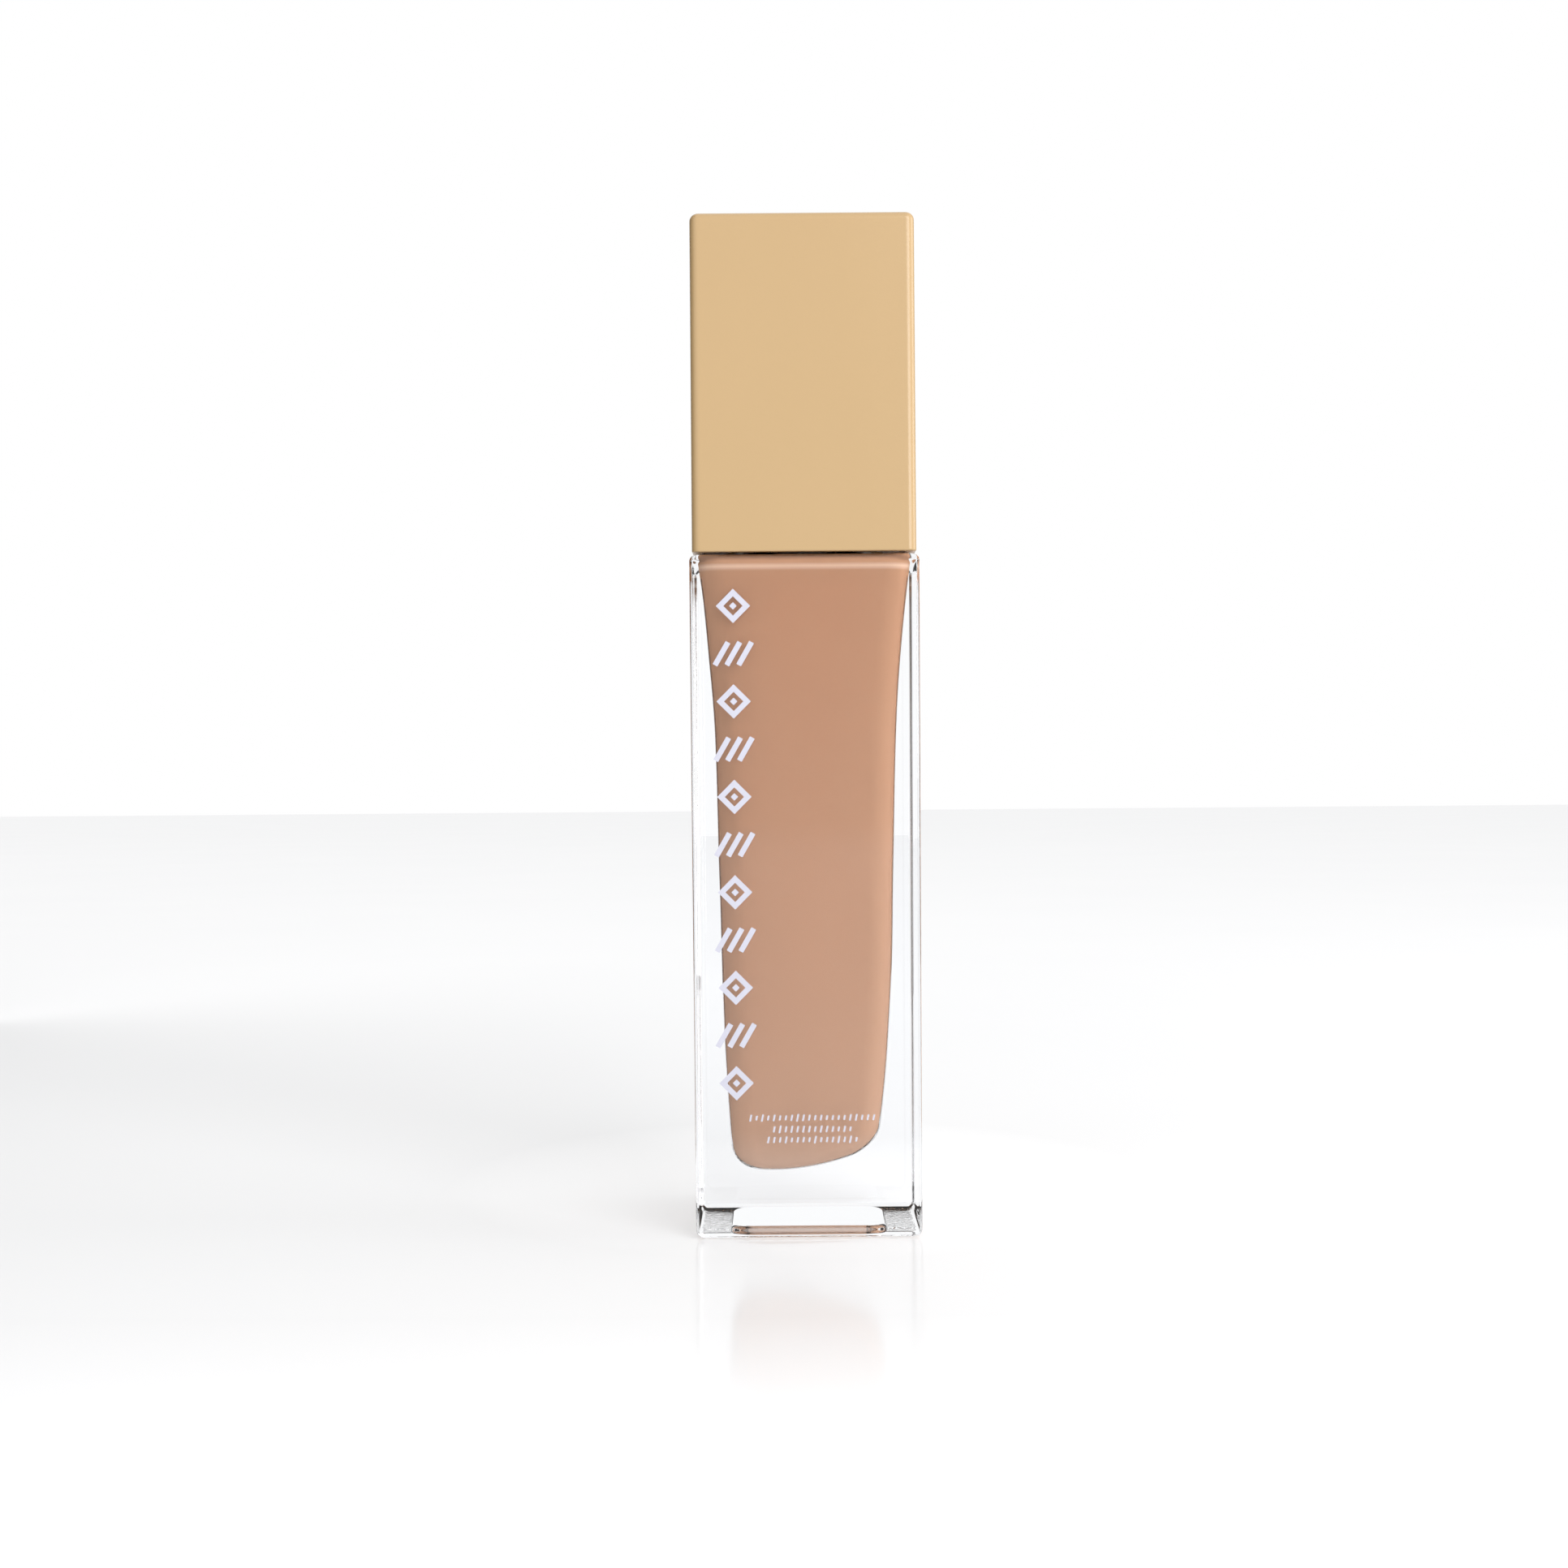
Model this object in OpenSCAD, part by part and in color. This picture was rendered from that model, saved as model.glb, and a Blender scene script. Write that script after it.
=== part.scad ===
// Foundation bottle: a square glass bottle, a treatment pump and a tall square overcap.
// +Z is up and the origin is the centre of the base. The printed front faces -Y, and the
// pump's spout points the same way. Heights are stacked from the base upwards.

/* [Glass body] */
// Width and depth of the glass body
body_w = 28.3; // [27.8:0.1:32]
// Height of the glass body, from the base to the shoulder
body_h = 84.2; // [80:0.2:92]
// Radius of the four upright edges
edge_r = 0.4; // [0.3:0.1:2]
// Radius where the sides turn over into the shoulder
shoulder_r = 0.9; // [0.5:0.1:1.4]
// Radius where the sides turn under into the base
heel_r = 1.2; // [0.8:0.1:2.4]
// How far each side of the glass draws in from the shoulder down to the base
draft = 0.25; // [0:0.05:0.3]

/* [Cavity] */
// Glass thickness at the shoulder, where the wall is thinnest
wall_top = 0.9; // [0.8:0.05:1.5]
// Glass thickness half way up
wall_mid = 3.3; // [2.6:0.05:4]
// Glass thickness just above the floor
wall_low = 5.1; // [4.4:0.1:6]
// Glass thickness under the cavity
floor_t = 8.4; // [6.5:0.1:11]
// Rise of the cavity's floor from left to right, as a slope
floor_tilt = 0.15; // [0:0.01:0.2]
// Radius of the cavity's upright corners
cavity_r = 3; // [2:0.25:4]
// Depth of the recess under the base
recess_h = 1; // [0.6:0.1:1.6]
// Width of the recess under the base
recess_w = 19.6; // [16:0.2:21]

/* [Neck] */
// Height of the neck above the shoulder
neck_h = 14; // [13:0.5:15]
// Radius of the neck under its thread
neck_r = 7.8; // [7.6:0.1:8]
// Radius of the neck's bore
neck_bore_r = 5.3; // [5.2:0.1:5.6]
// Rise of the screw thread in one turn
thread_pitch = 3.175; // [3:0.025:3.25]

/* [Pump] */
// Travel of the pump head when pressed
stroke = 4; // [3:0.25:4]
// Travel of the piston on the stem, which opens and shuts the outlet
lost_motion = 0.6; // [0.4:0.1:0.6]
// Radius of the pump cylinder's bore
bore_r = 4.05; // [3.9:0.05:4.1]
// Length of the return spring at rest
spring_h = 8.2; // [8.2:0.1:9]
// Turns in the return spring that flex
spring_turns = 4.5; // [3.5:0.5:4.5]

/* [Overcap] */
// Height of the overcap
cap_h = 41.8; // [41:0.2:46]
// Gap between the overcap and the glass shoulder
cap_gap = 0.3; // [0.2:0.1:0.8]
// Wall of the overcap
cap_wall = 1.2; // [1:0.1:1.5]
// Radius of the overcap's four upright edges
cap_edge_r = 1; // [0.6:0.1:1.6]
// Radius round the top of the overcap
cap_top_r = 1; // [0.4:0.1:1.4]

/* [Hidden] */
// Steps in each quarter circle of a rounded square
arc_n = 8;
// Small overlap that keeps a cut clean
eps = 0.05;
// Gap of a running fit between two round pieces
run = 0.04;

// Glass
half_w = body_w / 2;
z_rim = body_h + neck_h;
z_roof = body_h - wall_top;
z_floor = floor_t;
thread_crest = neck_r + 1.05;
z_thread = z_rim - 9.4;
thread_turns = 1.6;

// Cavity: it widens slowly from its middle, flares near the shoulder and draws in at the floor
z_mid = 0.55 * body_h;
z_flare = 0.643 * body_h;
z_toe = 0.476 * body_h;
wall_slope = 0.0165;
flare = wall_mid - wall_top - wall_slope * (z_roof - z_mid);
toe = wall_low - wall_mid - wall_slope * (z_mid - z_floor);
toe_shift = -0.35;
floor_r = 3.8;
roof_r = 1;

// Pump, stacked downwards from the deck, which is the top of its flange
gasket_t = 0.8;
flange_t = 1.2;
z_flange = z_rim + gasket_t;
z_deck = z_flange + flange_t;
plug_h = 4.5;
seal_t = 1.1;
z_seal = z_deck - plug_h - seal_t;
stem_collar_t = 1.2;
piston_h = 5.4;
z_piston = z_seal - stem_collar_t - lost_motion - 0.2 - piston_h;
disc_t = 1.2;
z_disc = z_piston - disc_t;
cage_t = 1.6;
z_cage = z_disc - spring_h;
z_step = z_cage - cage_t;
chamber_r = 2.4;
chamber_h = 2.6;
seat_r = 1;
z_cone = z_step - chamber_h;
z_seat = z_cone - (chamber_r - seat_r);
socket_r = 2.4;
socket_h = 8.1;
z_socket = z_seat - 1 - socket_h;
barrel_r = bore_r + 0.75;
flange_r = 7.9;
ball_r = 1.6;
stem_r = 2;
stem_bore_r = 1.1;
tube_r = 1.5;
tube_bore_r = 1.05;
z_tube = z_floor + 2.5;
rod_r = 3.3;
spring_r = 3;
wire_r = 0.27;

// Closure and sleeve
closure_r = 9.9;
closure_bore_r = 9;
closure_crest = neck_r + 0.25;
closure_top_t = 1.2;
z_closure = body_h + 1;
z_closure_top = z_deck + closure_top_t;
closure_hole_r = 6.2;
rib_n = 24;
sleeve_r = 10.6;
sleeve_bore_r = 10.15;
sleeve_top_t = 0.6;
sleeve_hole_r = 7.5;
z_sleeve_top = z_closure_top + sleeve_top_t;

// Turret
turret_r = 5.9;
turret_flange_r = 7.1;
tower_r = 4.4;
z_tower = z_deck + 5.2;

// Head
head_r = 8.4;
head_wall = 0.8;
z_head = z_sleeve_top + stroke + 0.3;
head_h = 12.1;
z_head_top = z_head + head_h;
z_spout = z_head + 8.1;
spout_r = 2.4;
spout_reach = 9.3;
notch_w = 5;
z_core = z_head + 3.6;
stem_in = 2.9;
insert_r = 1.55;

// Overcap
z_cap = body_h + cap_gap;
z_cap_top = z_cap + cap_h;
cap_half = half_w - 0.3;
cap_in = cap_half - cap_wall;
z_ceiling = z_cap_top - 1.5;
liner_r = 11.5;
liner_bore_r = 10.85;
z_liner = z_cap + 0.8;
z_ledge = z_sleeve_top + 4.2;
ledge_r = 9.8;

// ---- Shapes that several pieces share ----

// Outline of a rounded square, anticlockwise, as points at height z that may lean along X
function rounded_ring(half, r, z, shift = 0, tilt = 0) = [
    for (k = [0:3], i = [0:arc_n])
        let (
            a = 90 * k + 90 * i / arc_n,
            mid = 90 * k + 45,
            x = sign(cos(mid)) * (half - r) + r * cos(a),
            y = sign(sin(mid)) * (half - r) + r * sin(a)
        )
        [x + shift, y, z + tilt * x]
];

// Closed solid through a stack of rings that all have the same number of points
module loft(rings) {
    n = len(rings[0]);
    last = len(rings) - 1;
    sides = [
        for (j = [0:last - 1], i = [0:n - 1])
            let (a = j * n + i, b = j * n + (i + 1) % n)
            each [[a, b + n, b], [a, a + n, b + n]]
    ];
    bottom = [for (i = [0:n - 1]) i];
    top = [for (i = [n - 1:-1:0]) last * n + i];
    polyhedron(points = [for (r = rings) each r], faces = concat([bottom], sides, [top]));
}

// Rounded square prism whose lower and upper rims have half widths and radii of their own
module soft_prism(half_low, half_high, r, z0, z1, r_low, r_high) {
    steps = 5;
    low = [
        for (i = [0:steps])
            let (a = 90 * i / steps, inset = r_low * (1 - sin(a)))
            rounded_ring(half_low - inset, max(r - inset, 0.2), z0 + r_low * (1 - cos(a)))
    ];
    high = [
        for (i = [0:steps])
            let (a = 90 * i / steps, inset = r_high * (1 - cos(a)))
            rounded_ring(half_high - inset, max(r - inset, 0.2), z1 - r_high * (1 - sin(a)))
    ];
    loft(concat(low, high));
}

// Half width of the cavity at height z
function cavity_half(z) =
    let (
        up = max(0, (z - z_flare) / (z_roof - z_flare)),
        down = min(1, max(0, (z_toe - z) / (z_toe - z_floor)))
    )
    half_w - wall_mid + wall_slope * (z - z_mid) + flare * up * up - toe * down * down;

// How far the toe of the cavity has set in at height z: 1 at the floor and 0 above the toe
function toe_part(z) = pow(min(1, max(0, (z_toe - z) / (z_toe - z_floor))), 2);

// One ring of the cavity, drawn in by inset, with gap taken off all round
function cavity_ring(z, inset, gap) = rounded_ring(
    cavity_half(z) - inset - gap, max(cavity_r - gap - inset / 2, 0.8), z,
    toe_shift * toe_part(z), floor_tilt * toe_part(z)
);

// The cavity's solid form, less a gap
module cavity_form(gap) {
    corner_n = 5;
    wall_n = 14;
    low = [
        for (i = [0:corner_n])
            let (a = 90 * i / corner_n)
            cavity_ring(z_floor + gap + floor_r * (1 - cos(a)), floor_r * (1 - sin(a)), gap)
    ];
    walls = [
        for (i = [1:wall_n - 1])
            let (z0 = z_floor + floor_r, z1 = z_roof - roof_r)
            cavity_ring(z0 + (z1 - z0) * i / wall_n, 0, gap)
    ];
    high = [
        for (i = [0:corner_n])
            let (a = 90 * i / corner_n)
            cavity_ring(z_roof - gap - roof_r * (1 - sin(a)), roof_r * (1 - cos(a)), gap)
    ];
    loft(concat(low, walls, high));
}

// Helical ridge of trapezoid section, which fades out at both ends.
// r_in is the buried side and r_out the crest, on either side of each other.
module thread_ridge(r_in, r_out, half_in, half_out, z0, turns) {
    steps = 28;
    fade = 5;
    n = round(turns * steps);
    side = [
        for (i = [0:n])
            let (
                a = 360 * i / steps,
                zc = z0 + thread_pitch * i / steps,
                k = min(1, min(i, n - i) / fade),
                r = r_in + (r_out - r_in) * (0.35 + 0.65 * k)
            )
            each [
                [r_in * cos(a), r_in * sin(a), zc - half_in],
                [r_in * cos(a), r_in * sin(a), zc + half_in],
                [r * cos(a), r * sin(a), zc + half_out],
                [r * cos(a), r * sin(a), zc - half_out]
            ]
    ];
    walls = [
        for (i = [0:n - 1], k = [0:3])
            let (a = 4 * i + k, b = 4 * i + (k + 1) % 4)
            each [[a, b + 4, b], [a, a + 4, b + 4]]
    ];
    faces = concat([[0, 1, 2, 3]], walls, [[4 * n + 3, 4 * n + 2, 4 * n + 1, 4 * n]]);
    inward = [for (f = faces) [for (i = [len(f) - 1:-1:0]) f[i]]];
    polyhedron(points = side, faces = r_out > r_in ? faces : inward);
}

// Hollow cylinder from z0 to z1
module ring(r_out, r_in, z0, z1) {
    difference() {
        translate([0, 0, z0]) cylinder(r = r_out, h = z1 - z0, $fn = 96);
        translate([0, 0, z0 - 1]) cylinder(r = r_in, h = z1 - z0 + 2, $fn = 96);
    }
}

// Cylinder that lies along -Y, from y0 out to y1, at the spout's height
module spout_rod(r, y0, y1) {
    translate([0, -y0, z_spout])
        rotate([90, 0, 0])
            cylinder(r = r, h = y1 - y0, $fn = 64);
}

// ---- Bottle ----

module glass_bottle() {
    color([0.93, 0.95, 0.96, 0.35])
        difference() {
            union() {
                soft_prism(half_w - draft, half_w, edge_r, 0, body_h, heel_r, shoulder_r);
                translate([0, 0, body_h - 1]) cylinder(r = neck_r, h = neck_h + 1, $fn = 96);
                thread_ridge(neck_r - 0.3, thread_crest, 1.05, 0.45, z_thread, thread_turns);
            }
            cavity_form(0);
            translate([0, 0, z_roof - 1])
                cylinder(r = neck_bore_r, h = z_rim - z_roof + 2, $fn = 96);
            translate([0, 0, z_roof - eps])
                cylinder(r1 = neck_bore_r + 2, r2 = neck_bore_r, h = 1.6, $fn = 96);
            loft([
                rounded_ring(recess_w / 2 + 0.4, 3, -1),
                rounded_ring(recess_w / 2, 3, 0),
                rounded_ring(recess_w / 2 - 0.2, 3, recess_h * 0.6),
                rounded_ring(recess_w / 2 - 0.9, 2.6, recess_h)
            ]);
        }
}

// The liquid, with a channel that leaves room for the pump to be drawn up and out
module foundation_fill() {
    room = 0.3;
    color([0.78, 0.60, 0.49])
        difference() {
            cavity_form(0.03);
            translate([0, 0, z_seat])
                cylinder(r = barrel_r + room, h = z_roof - z_seat + 1, $fn = 96);
            translate([0, 0, z_socket - room])
                cylinder(r = socket_r + room, h = z_roof - z_socket + 1, $fn = 96);
            translate([0, 0, z_tube - room])
                cylinder(r = tube_r + room, h = z_roof - z_tube, $fn = 96);
        }
}

// ---- Overcap ----

module overcap_shell() {
    color([0.86, 0.74, 0.58])
        difference() {
            soft_prism(cap_half, cap_half, cap_edge_r, z_cap, z_cap_top, 0.2, cap_top_r);
            loft([
                rounded_ring(cap_in, 0.9, z_cap - 1),
                rounded_ring(cap_in, 0.9, z_ceiling)
            ]);
        }
}

// Sleeve that grips the collar, with a square foot and fins that centre it in the shell
module overcap_liner() {
    foot = cap_in - run;
    fin_t = 0.8;
    grip_n = 6;
    color([0.95, 0.94, 0.92])
        difference() {
            union() {
                translate([0, 0, z_liner])
                    cylinder(r = liner_r, h = z_ceiling - z_liner, $fn = 96);
                translate([-foot, -foot, z_liner]) cube([2 * foot, 2 * foot, 1]);
                for (a = [0:90:270])
                    rotate([0, 0, a])
                        translate([0, -fin_t / 2, z_liner])
                            cube([foot, fin_t, z_ceiling - z_liner - 2]);
                for (a = [45:90:315])
                    rotate([0, 0, a])
                        translate([0, -fin_t / 2, z_liner])
                            cube([cap_in * sqrt(2) - 1.1, fin_t, z_ceiling - z_liner - 2]);
            }
            difference() {
                translate([0, 0, z_liner - 1])
                    cylinder(r = liner_bore_r, h = z_ceiling - z_liner + 2, $fn = 96);
                ring(liner_bore_r + 1, ledge_r, z_ledge, z_ledge + 0.8);
                for (i = [0:grip_n - 1])
                    rotate([0, 0, 30 + 360 * i / grip_n])
                        translate([sleeve_r + run, -0.5, z_closure + 2])
                            cube([1, 1, 9]);
            }
            // square foot trimmed at its corners, to sit inside the shell's rounded ones
            for (a = [45:90:315])
                rotate([0, 0, a])
                    translate([cap_in * sqrt(2) - 0.9, -2, z_liner - 1])
                        cube([4, 4, 3]);
        }
}

// ---- Head ----

module actuator_shell() {
    dish_r = 24;
    dish_h = 0.7;
    color([0.86, 0.74, 0.58])
        difference() {
            rotate_extrude($fn = 96)
                polygon(concat(
                    [[0, z_head], [head_r, z_head]],
                    [for (a = [0:15:90]) [
                        head_r - 1 + cos(a), z_head_top - 1 + sin(a)
                    ]],
                    [[0, z_head_top]]
                ));
            translate([0, 0, z_head - 1])
                cylinder(r = head_r - head_wall, h = head_h - 0.3, $fn = 96);
            translate([0, 0, z_head_top - dish_h + dish_r]) sphere(r = dish_r, $fn = 128);
            spout_rod(spout_r + run, 5, 12);
            translate([-notch_w / 2, -head_r - 1, z_head - 1])
                cube([notch_w, 4, z_spout - z_head + 1]);
        }
}

// Inner part of the head: stem socket, channel, spout, lid plate, and the apron under the spout
module actuator_core() {
    color([0.95, 0.94, 0.92])
        difference() {
            union() {
                translate([0, 0, z_core])
                    cylinder(r = 3.2, h = z_head_top - 1.35 - z_core, $fn = 96);
                translate([0, 0, z_head_top - 2.4])
                    cylinder(r = head_r - head_wall - run, h = 1.05, $fn = 96);
                spout_rod(spout_r, 0, spout_reach);
                intersection() {
                    ring(head_r - 0.05, head_r - head_wall - 0.6, z_head, z_spout);
                    translate([run - notch_w / 2, -head_r - 1, z_head])
                        cube([notch_w - 2 * run, 4, z_spout - z_head]);
                }
            }
            translate([0, 0, z_core - 1]) cylinder(r = stem_r + 0.02, h = stem_in + 1, $fn = 64);
            translate([0, 0, z_core]) cylinder(r = stem_bore_r, h = z_spout - z_core, $fn = 64);
            spout_rod(1, 0, spout_reach + 1);
            spout_rod(insert_r + 0.02, spout_reach - 2.6, spout_reach + 1);
        }
}

module nozzle_insert() {
    color([0.95, 0.94, 0.92])
        difference() {
            spout_rod(insert_r, spout_reach - 2.58, spout_reach - 0.1);
            spout_rod(0.45, spout_reach - 3, spout_reach + 1);
            spout_rod(0.9, spout_reach - 3, spout_reach - 1.1);
        }
}

// ---- Collar ----

module collar_sleeve() {
    color([0.86, 0.74, 0.58])
        difference() {
            rotate_extrude($fn = 96)
                polygon(concat(
                    [[0, z_closure - 0.1], [sleeve_r, z_closure - 0.1]],
                    [for (a = [0:22.5:90]) [
                        sleeve_r - 0.4 + 0.4 * cos(a), z_sleeve_top - 0.4 + 0.4 * sin(a)
                    ]],
                    [[0, z_sleeve_top]]
                ));
            translate([0, 0, z_closure - 1])
                cylinder(r = sleeve_bore_r, h = z_closure_top - z_closure + 1, $fn = 96);
            cylinder(r = sleeve_hole_r, h = z_sleeve_top + 1, $fn = 96);
        }
}

module screw_closure() {
    z_in = z_thread - 1.3;
    color([0.95, 0.94, 0.92])
        union() {
            difference() {
                union() {
                    translate([0, 0, z_closure])
                        cylinder(r = closure_r, h = z_closure_top - z_closure, $fn = 96);
                    for (i = [0:rib_n - 1])
                        rotate([0, 0, 360 * i / rib_n])
                            translate([closure_r - 0.5, -0.3, z_closure + 1])
                                cube([0.5 + sleeve_bore_r - closure_r - run, 0.6, 13]);
                }
                translate([0, 0, z_closure - 1])
                    cylinder(r = closure_bore_r, h = z_deck - z_closure + 1, $fn = 96);
                cylinder(r = closure_hole_r, h = z_closure_top + 1, $fn = 96);
            }
            thread_ridge(closure_bore_r + 0.3, closure_crest, 0.85, 0.3, z_in, 1.3);
        }
}

// ---- Pump ----

module neck_gasket() {
    color([0.90, 0.90, 0.88]) ring(neck_r - 0.1, neck_bore_r + 0.1, z_rim, z_flange);
}

module pump_housing() {
    color([0.93, 0.93, 0.92])
        difference() {
            union() {
                translate([0, 0, z_flange]) cylinder(r = flange_r, h = flange_t, $fn = 96);
                translate([0, 0, z_step - 1])
                    cylinder(r = barrel_r, h = z_flange - z_step + 1.5, $fn = 96);
                translate([0, 0, z_seat])
                    cylinder(r1 = socket_r, r2 = barrel_r, h = z_step - 1 - z_seat, $fn = 96);
                translate([0, 0, z_socket])
                    cylinder(r = socket_r, h = z_seat - z_socket + 0.5, $fn = 96);
            }
            translate([0, 0, z_step]) cylinder(r = bore_r, h = z_deck - z_step + 1, $fn = 96);
            translate([0, 0, z_cone]) cylinder(r = chamber_r, h = chamber_h + 1, $fn = 96);
            translate([0, 0, z_seat])
                cylinder(r1 = seat_r, r2 = chamber_r, h = z_cone - z_seat, $fn = 96);
            translate([0, 0, z_seat - 2]) cylinder(r = seat_r, h = 3, $fn = 64);
            translate([0, 0, z_socket - 1])
                cylinder(r = tube_r + 0.02, h = socket_h + 1, $fn = 64);
            // air vent, which the piston uncovers as it goes down
            translate([0, 0, z_seal - 0.9])
                rotate([0, 90, 0])
                    cylinder(r = 0.35, h = barrel_r + 1, $fn = 32);
        }
}

module turret() {
    color([0.95, 0.94, 0.92])
        difference() {
            union() {
                translate([0, 0, z_seal + seal_t])
                    cylinder(r = bore_r - run, h = plug_h + 1, $fn = 96);
                translate([0, 0, z_deck])
                    cylinder(r = turret_r, h = closure_top_t + 0.3, $fn = 96);
                translate([0, 0, z_closure_top + 0.05])
                    cylinder(r = turret_flange_r, h = 0.75, $fn = 96);
                translate([0, 0, z_deck + 1]) cylinder(r = tower_r, h = z_tower - z_deck - 1, $fn = 96);
            }
            translate([0, 0, z_seal]) cylinder(r = stem_r + run, h = 20, $fn = 64);
        }
}

module stem_seal() {
    color([0.30, 0.30, 0.31]) ring(bore_r - run, stem_r + 0.02, z_seal, z_seal + seal_t);
}

module stem() {
    color([0.93, 0.93, 0.92])
        difference() {
            union() {
                translate([0, 0, z_piston + 1.2])
                    cylinder(r = stem_r, h = z_core + stem_in - z_piston - 1.25, $fn = 64);
                translate([0, 0, z_seal - stem_collar_t])
                    cylinder(r = stem_r + 0.7, h = stem_collar_t, $fn = 64);
            }
            translate([0, 0, z_piston]) cylinder(r = stem_bore_r, h = 60, $fn = 64);
        }
}

// Fluted plug in the stem, valve disc under the piston, and a pin that guides the spring
module piston_rod() {
    flute_n = 3;
    color([0.93, 0.93, 0.92])
        difference() {
            union() {
                translate([0, 0, z_disc]) cylinder(r = rod_r, h = disc_t, $fn = 96);
                translate([0, 0, z_disc + 0.5])
                    cylinder(r = stem_bore_r - 0.03, h = disc_t + 5, $fn = 64);
                translate([0, 0, z_disc - 3.9]) cylinder(r = 1.4, h = 4.4, $fn = 64);
            }
            for (i = [0:flute_n - 1])
                rotate([0, 0, 360 * i / flute_n])
                    translate([0.55, -0.25, z_piston + eps])
                        cube([1, 0.5, 8]);
        }
}

module piston() {
    lip_r = bore_r - 0.03;
    web = 3.5;
    skirt = 3.82;
    inner = stem_r + run;
    sleeve = 2.65;
    h = piston_h;
    color([0.97, 0.96, 0.94])
        rotate_extrude($fn = 96)
            polygon([
                [inner, z_piston], [sleeve, z_piston], [sleeve, z_piston + 2.2],
                [web, z_piston + 2.2], [web, z_piston - 0.1], [lip_r, z_piston - 0.5],
                [lip_r, z_piston - 0.2], [skirt, z_piston + 1], [skirt, z_piston + h - 1.2],
                [lip_r, z_piston + h - 0.4], [lip_r, z_piston + h], [web, z_piston + h - 0.5],
                [web, z_piston + 3.1], [sleeve, z_piston + 3.1], [sleeve, z_piston + h],
                [inner, z_piston + h]
            ]);
}

// Round wire on a helix: a closed turn at each end, and open turns between
module return_spring() {
    ends = 0.9;
    steps = 14;
    sides = 6;
    turns = spring_turns + 2 * ends;
    n = round(turns * steps);
    lift = 2 * wire_r + 0.02;
    z0 = z_cage + wire_r + 0.02;
    z1 = z_disc - wire_r - 0.02;
    open_pitch = (z1 - z0 - 2 * ends * lift) / spring_turns;
    points = [
        for (i = [0:n])
            let (
                t = i * turns / n,
                a = 360 * t,
                low = min(t, ends) * lift,
                mid = max(0, min(t - ends, spring_turns)) * open_pitch,
                high = max(0, t - ends - spring_turns) * lift,
                z = z0 + low + mid + high
            )
            each [
                for (k = [0:sides - 1])
                    let (b = 360 * k / sides, r = spring_r + wire_r * cos(b))
                    [r * cos(a), r * sin(a), z + wire_r * sin(b)]
            ]
    ];
    walls = [
        for (i = [0:n - 1], k = [0:sides - 1])
            let (a = sides * i + k, b = sides * i + (k + 1) % sides)
            each [[a, b, b + sides], [a, b + sides, a + sides]]
    ];
    start = [for (k = [sides - 1:-1:0]) k];
    end = [for (k = [0:sides - 1]) sides * n + k];
    color([0.75, 0.76, 0.78])
        polyhedron(points = points, faces = concat([start], walls, [end]));
}

// Spring seat that keeps the ball down, with four ports round its middle
module ball_cage() {
    port_n = 4;
    color([0.93, 0.93, 0.92])
        difference() {
            translate([0, 0, z_step]) cylinder(r = bore_r - run, h = cage_t, $fn = 96);
            for (i = [0:port_n - 1])
                rotate([0, 0, 45 + 360 * i / port_n])
                    translate([1.75, 0, z_step - 1])
                        cylinder(r = 0.7, h = cage_t + 2, $fn = 32);
        }
}

// The ball stands on the cone, which it meets at 45 degrees
module valve_ball() {
    z_ball = z_seat - seat_r + ball_r * sqrt(2) + 0.02;
    color([0.80, 0.81, 0.83])
        translate([0, 0, z_ball])
            sphere(r = ball_r, $fn = 64);
}

// Tube whose foot is cut on a slant, so that it can't seal against the floor
module dip_tube() {
    color([0.95, 0.95, 0.94])
        difference() {
            ring(tube_r, tube_bore_r, z_tube, z_seat - 1.05);
            translate([0, 0, z_tube])
                rotate([0, 30, 0])
                    translate([-5, -5, -4])
                        cube([10, 10, 4]);
        }
}

glass_bottle();
foundation_fill();
overcap_shell();
overcap_liner();
actuator_shell();
actuator_core();
nozzle_insert();
collar_sleeve();
screw_closure();
neck_gasket();
pump_housing();
turret();
stem_seal();
stem();
piston_rod();
piston();
return_spring();
ball_cage();
valve_ball();
dip_tube();
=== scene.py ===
# %% [markdown]
# # A foundation bottle in clear glass
# The real thing is a square bottle of very thick glass, filled with liquid make-up. A small
# pump is screwed on its neck, and a tall square cap covers the pump. This file makes its
# looks, piece by piece. Sizes are written in millimetres, as a bottle maker would write
# them, and turned into Blender's metres when a mesh is built.
#
# The first cell loads the design that the pieces have to fit. Each piece rides on one of
# its bodies, so that it moves when the cap is lifted or the pump is pressed.

# %% Load the design
import math

import bmesh
import bpy
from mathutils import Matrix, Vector, noise


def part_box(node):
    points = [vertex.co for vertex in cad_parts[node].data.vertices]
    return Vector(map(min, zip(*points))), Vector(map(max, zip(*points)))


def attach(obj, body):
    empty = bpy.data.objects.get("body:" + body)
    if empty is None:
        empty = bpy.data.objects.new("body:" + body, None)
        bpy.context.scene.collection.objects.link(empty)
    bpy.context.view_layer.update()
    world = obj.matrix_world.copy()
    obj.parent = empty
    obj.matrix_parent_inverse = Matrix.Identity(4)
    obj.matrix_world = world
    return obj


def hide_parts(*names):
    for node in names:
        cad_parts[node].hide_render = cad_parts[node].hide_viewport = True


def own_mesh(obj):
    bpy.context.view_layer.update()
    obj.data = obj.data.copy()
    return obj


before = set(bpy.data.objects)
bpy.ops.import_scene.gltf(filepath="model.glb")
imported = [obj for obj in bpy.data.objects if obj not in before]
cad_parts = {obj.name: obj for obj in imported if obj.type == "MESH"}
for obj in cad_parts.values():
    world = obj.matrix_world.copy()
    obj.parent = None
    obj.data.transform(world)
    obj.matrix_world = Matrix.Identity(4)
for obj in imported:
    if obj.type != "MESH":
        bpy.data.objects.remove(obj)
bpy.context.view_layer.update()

MM = 0.001


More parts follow.
